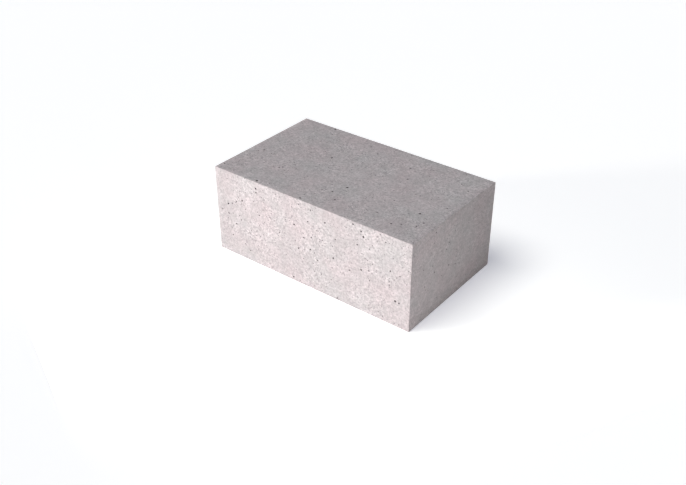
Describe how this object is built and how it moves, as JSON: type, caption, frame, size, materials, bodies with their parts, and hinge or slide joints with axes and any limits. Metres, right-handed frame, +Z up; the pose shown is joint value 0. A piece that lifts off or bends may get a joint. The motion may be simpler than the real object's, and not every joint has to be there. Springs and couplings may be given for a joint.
{
  "type": "concrete seating block",
  "caption": "Solid cast concrete cuboid with eased edges, laid on the ground as a seat, plinth or low barrier.",
  "frame": {"origin": "middle of the flat underside, on the ground", "axes": "+X along the block's length, +Y through its depth, +Z up to the seat"},
  "size_m": [1, 0.6, 0.4],
  "materials": {
    "concrete": "matte"
  },
  "bodies": {
    "root": {"seating_block": "concrete"}
  },
  "joints": []
}
